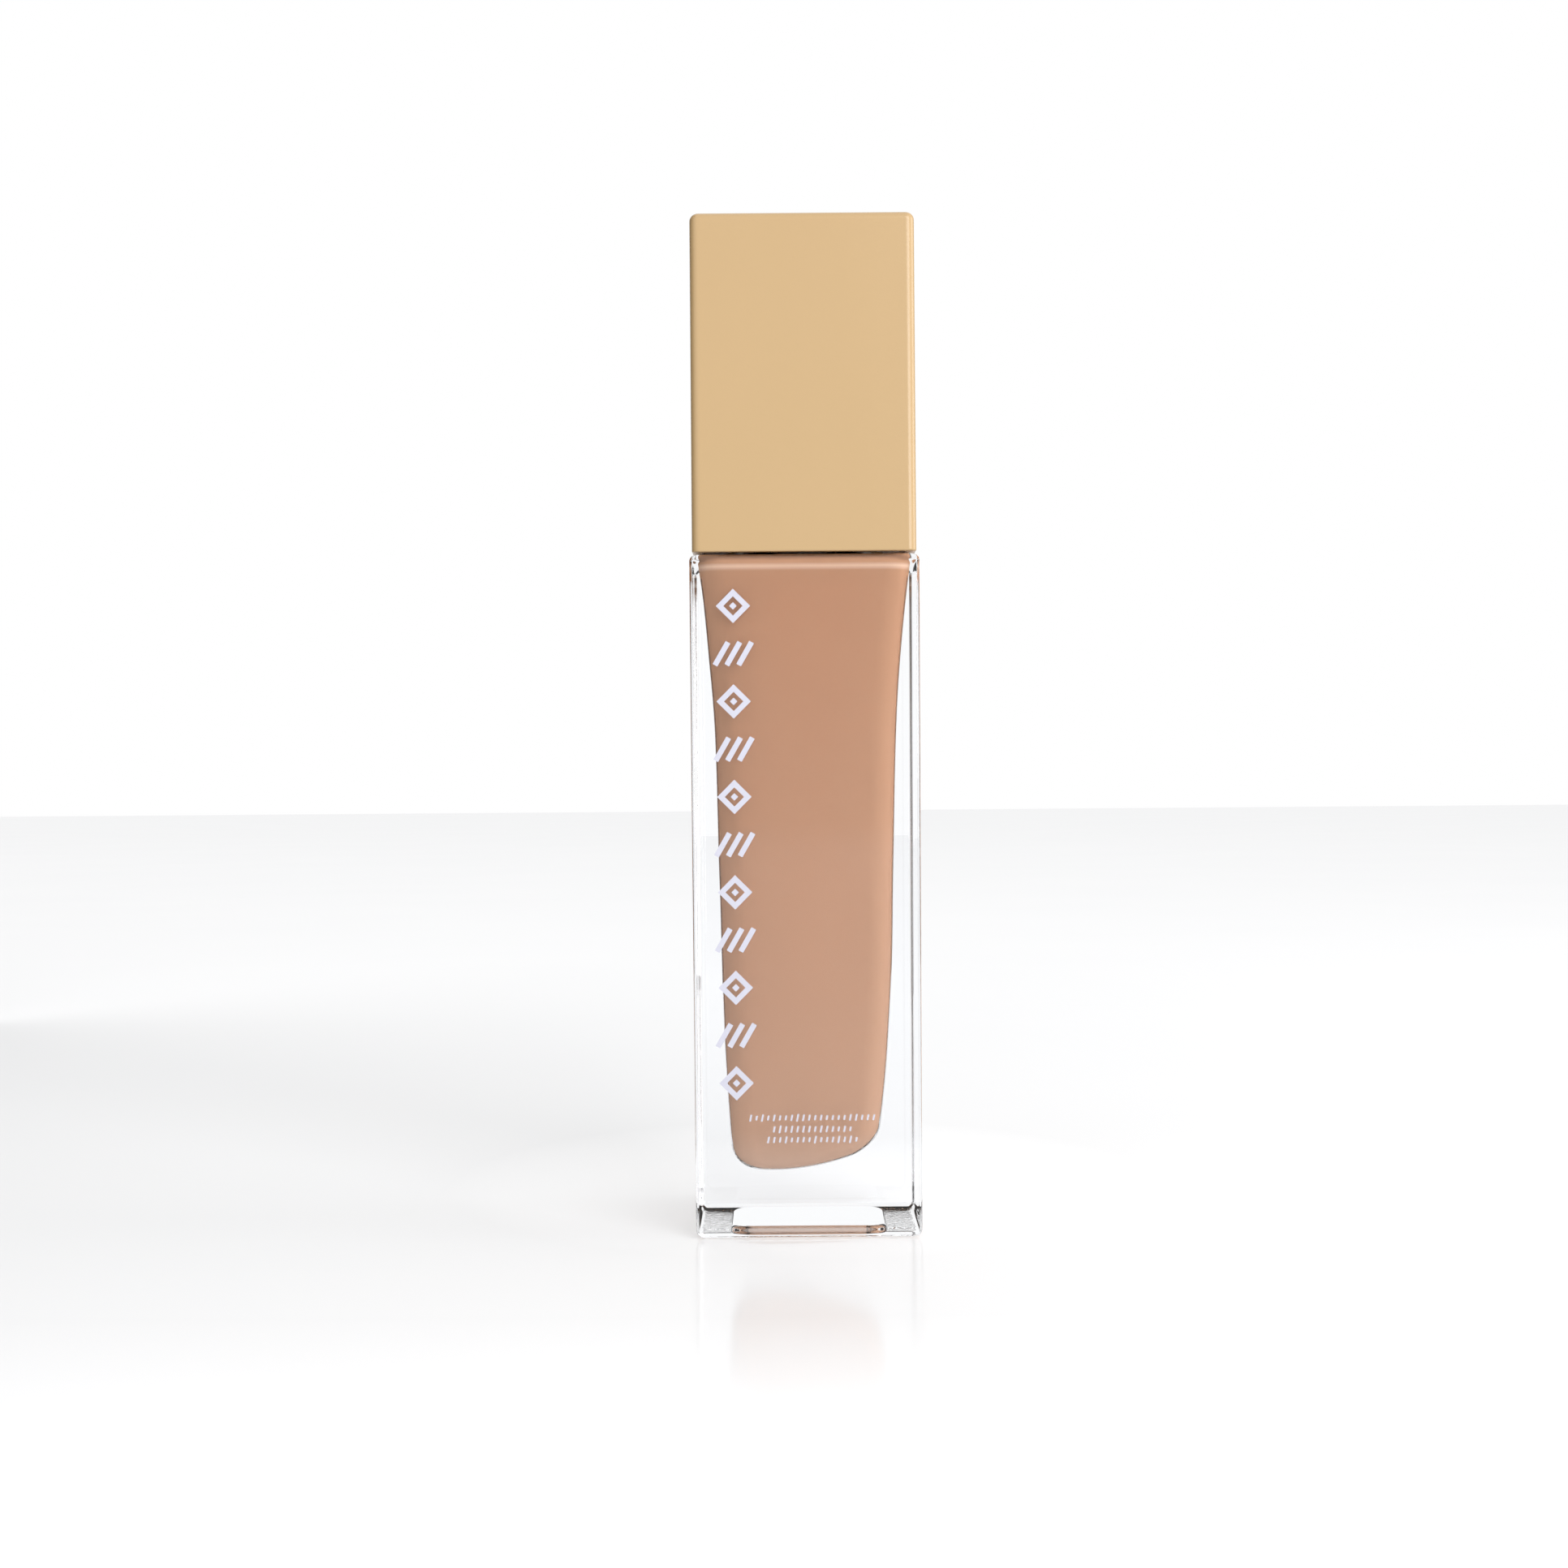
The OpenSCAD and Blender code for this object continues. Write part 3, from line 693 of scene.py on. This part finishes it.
def cap_rings():
    """From the middle of the ceiling, out and down inside, then up to the middle on top."""
    low, high = box_mm("overcap_shell")
    half, inner, ceiling = high.x, high.x - CAP_WALL, high.z - CAP_ROOF
    turns = quarter_turn(8)
    roof = [
        square_ring(inner - 0.6 * (1 - up), CAP_INSIDE, ceiling - 0.6 * (1 - out))
        for out, up in turns
    ]
    rings = [shrink(roof[0], s) for s in (0.05, 0.5)] + roof
    rings += [square_ring(inner, CAP_INSIDE, z) for z in (ceiling - 1, low.z + CAP_LIP + 0.2)]
    rings += [
        square_ring(inner + CAP_LIP * (1 - out), CAP_INSIDE, low.z + CAP_LIP * (1 - up))
        for out, up in turns
    ]
    rings += [
        square_ring(half - CAP_LIP * (1 - up), CAP_EDGE, low.z + CAP_LIP * (1 - out))
        for out, up in turns
    ]
    straight = (low.z + CAP_LIP + GUARD, high.z - CAP_TOP - GUARD)
    rings += [square_ring(half, CAP_EDGE, z) for z in straight]
    top = [
        square_ring(
            half - CAP_TOP * (1 - out), CAP_EDGE - 0.8 * CAP_TOP * (1 - out), high.z - CAP_TOP * (1 - up)
        )
        for out, up in turns
    ]
    rim = square_ring(half - CAP_TOP - GUARD, 0.4, high.z)
    return rings + top + [rim] + [shrink(top[-1], s) for s in (0.5, 0.05)]


cap = new_piece("cap_shell", *skin(cap_rings()), beige, "overcap")
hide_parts("overcap_shell")


# %% [markdown]
# ## Recipes for what repeats
# A printed pattern and a wire spring are both "the same thing, many times". Geometry Nodes
# is made for that. A `Recipe` builds such a tree with named inputs. `cook` runs it once and
# keeps a plain mesh, so nothing live is left on the finished piece. A tree knows an input by
# an identifier of its own and not by its label, so the recipe keeps both.

# %% A recipe
class Recipe(Graph):
    """A Geometry Nodes tree with named inputs, whole numbers or lengths in millimetres."""

    def __init__(self, name, **inputs):
        self.tree = bpy.data.node_groups.new(name, "GeometryNodeTree")
        face = self.tree.interface
        face.new_socket("Geometry", in_out="OUTPUT", socket_type="NodeSocketGeometry")
        self.keys = {}
        for label, amount in inputs.items():
            kind = "NodeSocketInt" if isinstance(amount, int) else "NodeSocketFloat"
            self.keys[label] = face.new_socket(label, in_out="INPUT", socket_type=kind).identifier
        self.amounts = inputs
        self.inlet = self.tree.nodes.new("NodeGroupInput")

    def ask(self, label):
        """One of the named inputs."""
        return Value(self, self.inlet.outputs[label])

    def vector(self, x=0.0, y=0.0, z=0.0):
        """Three numbers or values as one vector."""
        return self.add("ShaderNodeCombineXYZ", inputs={0: x, 1: y, 2: z})

    def serve(self, geometry, material):
        """Ends the tree: real geometry, and a material on it."""
        real = self.add("GeometryNodeRealizeInstances", inputs={0: geometry})
        node = self.tree.nodes.new("GeometryNodeSetMaterial")
        node.inputs["Material"].default_value = material
        self.tree.links.new(real.socket, node.inputs["Geometry"])
        out = self.tree.nodes.new("NodeGroupOutput")
        self.tree.links.new(node.outputs[0], out.inputs[0])
        print(f"recipe {self.tree.name}: {len(self.tree.nodes)} nodes, inputs {list(self.keys)}")

    def cook(self, **amounts):
        """Runs the recipe once. Gives a plain mesh, still in millimetres."""
        holder = bpy.data.objects.new("holder", bpy.data.meshes.new("holder"))
        bpy.context.scene.collection.objects.link(holder)
        modifier = holder.modifiers.new("recipe", "NODES")
        modifier.node_group = self.tree
        for label, amount in {**self.amounts, **amounts}.items():
            modifier[self.keys[label]] = amount
        seen = holder.evaluated_get(bpy.context.evaluated_depsgraph_get())
        mesh = bpy.data.meshes.new_from_object(seen)
        holder.modifiers.remove(modifier)
        bpy.data.objects.remove(holder)
        return mesh


def mesh_points(mesh):
    """A cooked mesh's points and faces, ready for new_piece."""
    return [tuple(v.co) for v in mesh.vertices], [tuple(p.vertices) for p in mesh.polygons]


print("a recipe's mesh comes back as points in millimetres")


# %% [markdown]
# ## The print
# The front has a tall column of pale print on the left and three small centred rows near
# the base. Here the column is a plain pattern, a lozenge and three slanted bars in turn,
# and the rows are runs of short ticks. Ink is a very thin layer: it is sunk into the glass
# and stands out by four thousandths of a millimetre, and it leans back with the drafted
# face.

# %% Recipe for the column of shapes
def column_recipe():
    """Lozenges and groups of three bars in turn, up the Y axis, in the XY plane."""
    recipe = Recipe("print_column", Count=11, Pitch=5.86, Size=2.6, Stroke=0.66, Thick=0.024)
    size, stroke, thick = recipe.ask("Size"), recipe.ask("Stroke"), recipe.ask("Thick")

    def bar(length):
        block = {"Size": recipe.vector(length, stroke, thick)}
        return recipe.add("GeometryNodeMeshCube", inputs=block)

    def turned(shape, angle, x=0.0, y=0.0):
        inputs = {
            "Geometry": shape,
            "Translation": recipe.vector(x, y, 0.0),
            "Rotation": (0, 0, math.radians(angle)),
        }
        return recipe.add("GeometryNodeTransform", inputs=inputs)

    span = size * 1.15 - stroke
    side, along, out = bar(span), stroke * 0.5, span * 0.5
    lozenge = [turned(bar(stroke), 45)]
    for angle in (45, 135, 225, 315):       # each side laps one corner, so no two overlap
        cosine, sine = math.cos(math.radians(angle)), math.sin(math.radians(angle))
        x, y = along * cosine - out * sine, along * sine + out * cosine
        lozenge.append(turned(side, angle, x, y))
    bars = [turned(bar(size * 1.25), 60, x * 1.45) for x in (-1.0, 0.0, 1.0)]
    shapes = []
    for parts in (bars, lozenge):
        one = recipe.add("GeometryNodeJoinGeometry", inputs={0: parts})
        shapes.append(recipe.add("GeometryNodeGeometryToInstance", inputs={0: one}))
    both = recipe.add("GeometryNodeJoinGeometry", inputs={0: shapes})
    step = recipe.vector(0.0, recipe.ask("Pitch"), 0.0)
    line = recipe.add("GeometryNodeMeshLine", inputs={"Count": recipe.ask("Count"), "Offset": step})
    which = recipe.add("GeometryNodeInputIndex").maths("MODULO", 2.0)
    inputs = {"Points": line, "Instance": both, "Pick Instance": True, "Instance Index": which}
    recipe.serve(recipe.add("GeometryNodeInstanceOnPoints", inputs=inputs), ink)
    return recipe


# %% Recipe for a row of ticks
def row_recipe():
    """Short upright ticks along X, centred, with heights that vary by a fixed chance."""
    recipe = Recipe("print_row", Count=12, Pitch=0.72, Tall=0.95, Stroke=0.22, Thick=0.024, Seed=3)
    count, pitch = recipe.ask("Count"), recipe.ask("Pitch")
    size = recipe.vector(recipe.ask("Stroke"), recipe.ask("Tall"), recipe.ask("Thick"))
    tick = recipe.add("GeometryNodeMeshCube", inputs={"Size": size})
    start = recipe.vector((count - 1.0) * pitch * -0.5, 0.0, 0.0)
    inputs = {"Count": count, "Start Location": start, "Offset": recipe.vector(pitch, 0.0, 0.0)}
    line = recipe.add("GeometryNodeMeshLine", inputs=inputs)
    chance = recipe.add(
        "FunctionNodeRandomValue", {"data_type": "FLOAT"},
        {"Min_001": 0.55, "Max_001": 1.0, "Seed": recipe.ask("Seed")}, "Value_001",
    )
    inputs = {
        "Points": line,
        "Instance": tick,
        "Rotation": (0, 0, math.radians(-12)),
        "Scale": recipe.vector(1.0, chance, 1.0),
    }
    recipe.serve(recipe.add("GeometryNodeInstanceOnPoints", inputs=inputs), ink)
    return recipe


# %% Print on the front
SUNK = 0.008        # the middle of the ink lies this far inside the face of the glass
COLUMN_X, COLUMN_Z = -8.8, 19.2
ROWS_X = 0.46
ROWS = ((22, 14.9), (14, 13.5), (16, 12.2))     # ticks in a row, and its height


def printed(name, mesh, x, z):
    """Stands flat print up on the front face, with its origin at x and z."""
    points, faces = mesh_points(mesh)
    stood = []
    for px, py, pz in points:
        height = z + py
        stood.append((x + px, -outer_half(height) - pz + SUNK, height))
    piece = new_piece(name, stood, faces, ink, "bottle", smooth=False)


printed("print_column", column_recipe().cook(), COLUMN_X, COLUMN_Z)
rows = row_recipe()
for number, (count, z) in enumerate(ROWS, 1):
    printed(f"print_row_{number}", rows.cook(Count=count, Seed=3 + number), ROWS_X, z)
print(f"print: one column at x = {COLUMN_X} mm and {len(ROWS)} rows")


# %% [markdown]
# ## The return spring
# A wire follows a helix. Its end turns are wound closed, so that they lie flat in the pump,
# and the turns between them are open. In the real pump the spring shortens when pressed;
# this mesh keeps one length.

# %% Recipe for the spring
def spring_recipe():
    """A coil up the Z axis, from 0 to Tall, with closed turns at both ends."""
    recipe = Recipe("spring", Tall=8.2, Radius=3.0, Wire=0.27, Open=4.5, Closed=0.9, Steps=220)
    wire, closed, turns_open = recipe.ask("Wire"), recipe.ask("Closed"), recipe.ask("Open")
    line = recipe.add("GeometryNodeCurvePrimitiveLine", inputs={"End": (0, 0, 1)})
    inputs = {"Curve": line, "Count": recipe.ask("Steps")}
    path = recipe.add("GeometryNodeResampleCurve", inputs=inputs)
    share = recipe.add("GeometryNodeSplineParameter", output="Factor")
    turn = share * (turns_open + closed * 2.0)
    tight = wire * 2.04
    loose = (recipe.ask("Tall") - wire * 2.0 - tight * closed * 2.0) / turns_open
    in_open = (turn - closed).maths("MAXIMUM", 0.0).maths("MINIMUM", turns_open)
    height = wire + tight * (turn - in_open) + loose * in_open
    angle = turn * (2 * math.pi)
    across = angle.maths("COSINE") * recipe.ask("Radius")
    along = angle.maths("SINE") * recipe.ask("Radius")
    coil = recipe.add(
        "GeometryNodeSetPosition",
        inputs={"Geometry": path, "Position": recipe.vector(across, along, height)},
    )
    profile = recipe.add(
        "GeometryNodeCurvePrimitiveCircle", inputs={"Resolution": 12, "Radius": wire}
    )
    inputs = {"Curve": coil, "Profile Curve": profile, "Fill Caps": True}
    recipe.serve(recipe.add("GeometryNodeCurveToMesh", inputs=inputs), wire_steel)
    return recipe


# %% Make the spring
spring_low, spring_high = box_mm("return_spring")
tall = spring_high.z - spring_low.z
coil_points, coil_faces = mesh_points(spring_recipe().cook(Tall=tall))
coil_points = [(x, y, z + spring_low.z) for x, y, z in coil_points]
spring = new_piece("pump_spring", coil_points, coil_faces, wire_steel, "pump_engine")
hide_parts("return_spring")
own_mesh(spring)


# %% [markdown]
# ## Pieces that keep their design shape
# Round pieces of the pump come from the design as they are. They only need a finish.

# %% Dress the design's own pieces
dress = {
    "overcap_liner": white_plastic,
    "actuator_shell": beige,
    "actuator_core": white_plastic,
    "nozzle_insert": white_plastic,
    "collar_sleeve": beige,
    "screw_closure": white_plastic,
    "neck_gasket": foam,
    "pump_housing": white_plastic,
    "turret": white_plastic,
    "stem_seal": seal_black,
    "stem": white_plastic,
    "piston_rod": white_plastic,
    "piston": white_plastic,
    "ball_cage": white_plastic,
    "valve_ball": ball_steel,
    "dip_tube": clear_tube,
}
for node, material in dress.items():
    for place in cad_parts[node].material_slots:
        place.material = material
print("dressed:", len(dress))


# %% [markdown]
# ## Studio
# Glass shows its shape by what it bends. Against a white room it would vanish, so dark
# boards stand behind it on both sides, out of sight of the camera: the rounded edges bend
# their darkness into thin lines. The boards on the left also keep the light off that side
# of the cap. Each board can be hidden from some kinds of rays, so that it darkens the glass
# and leaves the floor white.

# %% White acrylic for the floor
def acrylic():
    """A sheet of white acrylic, lit from below. Under and behind the bottle its glow is stronger:
    a painted pool of light that cancels the bottle's shadow there. Its polish is worn off
    towards the camera, so the bottle's soft reflection fades there."""
    finish = Finish("white_acrylic", Specular_IOR_Level=0.0, Emission_Strength=0.35)
    cast = finish.grain(0.01)
    finish.feed("Base Color", finish.blend((0.62, 0.62, 0.625), (0.64, 0.64, 0.645), cast))
    x, y = finish.axis("X"), finish.axis("Y")
    square = (x * x).maths("MAXIMUM", y * y) / 400
    # Stronger glow under and behind the bottle: painted light that cancels the bottle's shadow on the
    # floor.
    under = finish.ramp(square, (0.36, 1.0), (0.47, 0.0))
    behind = finish.ramp((x * x + (y - 25.0) * (y - 25.0)) / 2500, (0.1, 1.0), (1.0, 0.0))
    glow = finish.blend((0.98, 0.99, 1.0), (1.0, 1.0, 1.0), cast)
    glow = finish.blend(glow, (1.38, 1.38, 1.38), behind)
    finish.feed("Emission Color", finish.blend(glow, (2.6, 2.6, 2.6), under))
    gloss = finish.add("ShaderNodeBsdfGlossy", inputs={"Roughness": 0.13})
    polish = finish.ramp(finish.axis("Y") / 100 + 1, (0.08, 0.0), (0.50, 1.0))
    finish.cover(gloss, polish * 0.28)
    return finish.material


# %% Floor and room
def panel(name, corners, material):
    """One flat face of the studio. It is never part of the bottle."""
    mesh = bpy.data.meshes.new(name)
    mesh.from_pydata(corners, [], [tuple(range(len(corners)))])
    mesh.materials.append(material)
    piece = bpy.data.objects.new(name, mesh)
    bpy.context.scene.collection.objects.link(piece)
    return piece


reach = 4.0
level = -0.03 * MM                  # a hair below the base, so the two never share a plane
corners = [(x * reach, y * reach, level) for x, y in ((-1, -1), (1, -1), (1, 1), (-1, 1))]
panel("floor", corners, acrylic())

world = bpy.data.worlds.new("white_room")
world.use_nodes = True
world.node_tree.nodes["Background"].inputs["Color"].default_value = (1, 1, 1, 1)
world.node_tree.nodes["Background"].inputs["Strength"].default_value = 1.0
bpy.context.scene.world = world
bpy.context.scene.view_settings.view_transform = "Standard"
print(f"floor {2 * reach:.0f} m wide, {-level / MM:.2f} mm below the base")


# %% Dark boards round the bottle
def black_cloth():
    finish = Finish("black_cloth", Specular_IOR_Level=0.0, Roughness=1.0)
    weave = finish.grain(0.05)
    finish.feed("Base Color", finish.blend((0.010, 0.011, 0.013), (0.020, 0.021, 0.024), weave))
    return finish.material


def board(name, first, last, distance, height, kinds):
    """An upright board from one bearing to another, in degrees from straight behind, positive
    to the right. kinds names the rays that meet it; the camera never does."""
    corners = []
    for bearing, z in ((first, 0.0), (last, 0.0), (last, height), (first, height)):
        a = math.radians(bearing)
        corners.append((distance * math.sin(a), distance * math.cos(a), z))
    piece = panel(name, corners, cloth)
    piece.visible_camera = False
    for kind in ("diffuse", "glossy", "transmission", "shadow"):
        setattr(piece, "visible_" + kind, kind in kinds)


cloth = black_cloth()
everything = ("diffuse", "glossy", "transmission", "shadow")
board("board_inner_left", -42, -22, 0.36, 0.5, ("transmission",))
board("board_rear_left", -80, -42, 0.30, 0.8, everything)
board("board_side_left", -100, -80, 0.30, 0.8, ("diffuse", "glossy", "shadow"))
board("board_front_left", -125, -100, 0.30, 0.8, everything)
board("board_inner_right", 24, 40, 0.36, 0.5, ("transmission",))
board("board_rear_right", 40, 62, 0.36, 0.5, ("glossy", "transmission"))


# %% Lights
def soft_box(name, place, aim, size, radiance):
    """A rectangular soft box. Its power follows from how bright its face looks."""
    data = bpy.data.lights.new(name, "AREA")
    data.shape = "RECTANGLE"
    data.size, data.size_y = size
    data.energy = radiance * math.pi * size[0] * size[1]
    light = bpy.data.objects.new(name, data)
    bpy.context.scene.collection.objects.link(light)
    light.location = place
    light.rotation_euler = (Vector(aim) - Vector(place)).to_track_quat("-Z", "Y").to_euler()
    print(f"light {name}: {data.energy:.2f} W")


soft_box("key", (0.42, -0.75, 0.42), (0, 0, 0.08), (0.55, 0.84), 4.6)
soft_box("side", (0.62, 0.0, 0.22), (0, 0, 0.07), (0.30, 0.44), 2.8)


# %% [markdown]
# ## Camera
# The bottle is seen from straight in front, a little left of its middle and half way up.
# The camera is only 25 cm away, which shows in the base: the back of the bottle's rim is
# seen through the clear glass some way above the front of it.

# %% Place the camera
VIEW_DISTANCE = 0.25                # from the lens to the front face
FRAME_WIDTH = 0.1925                # how much of the front face's plane the frame spans
LEAN = -0.44                        # the frame is turned by this much, in degrees
camera_data = bpy.data.cameras.new("camera")
camera_data.lens = camera_data.sensor_width * VIEW_DISTANCE / FRAME_WIDTH
camera_data.clip_start, camera_data.clip_end = 0.05, 50
camera = bpy.data.objects.new("camera", camera_data)
bpy.context.scene.collection.objects.link(camera)
camera.location = (-0.0027, -VIEW_DISTANCE - 0.014, 0.0559)     # 14 mm: half the bottle
camera.rotation_euler = (math.radians(90), 0, 0)
camera.rotation_euler.rotate_axis("Z", math.radians(LEAN))
bpy.context.scene.camera = camera
print(f"camera: {camera_data.lens:.1f} mm lens, {VIEW_DISTANCE / MM:.0f} mm from the front")
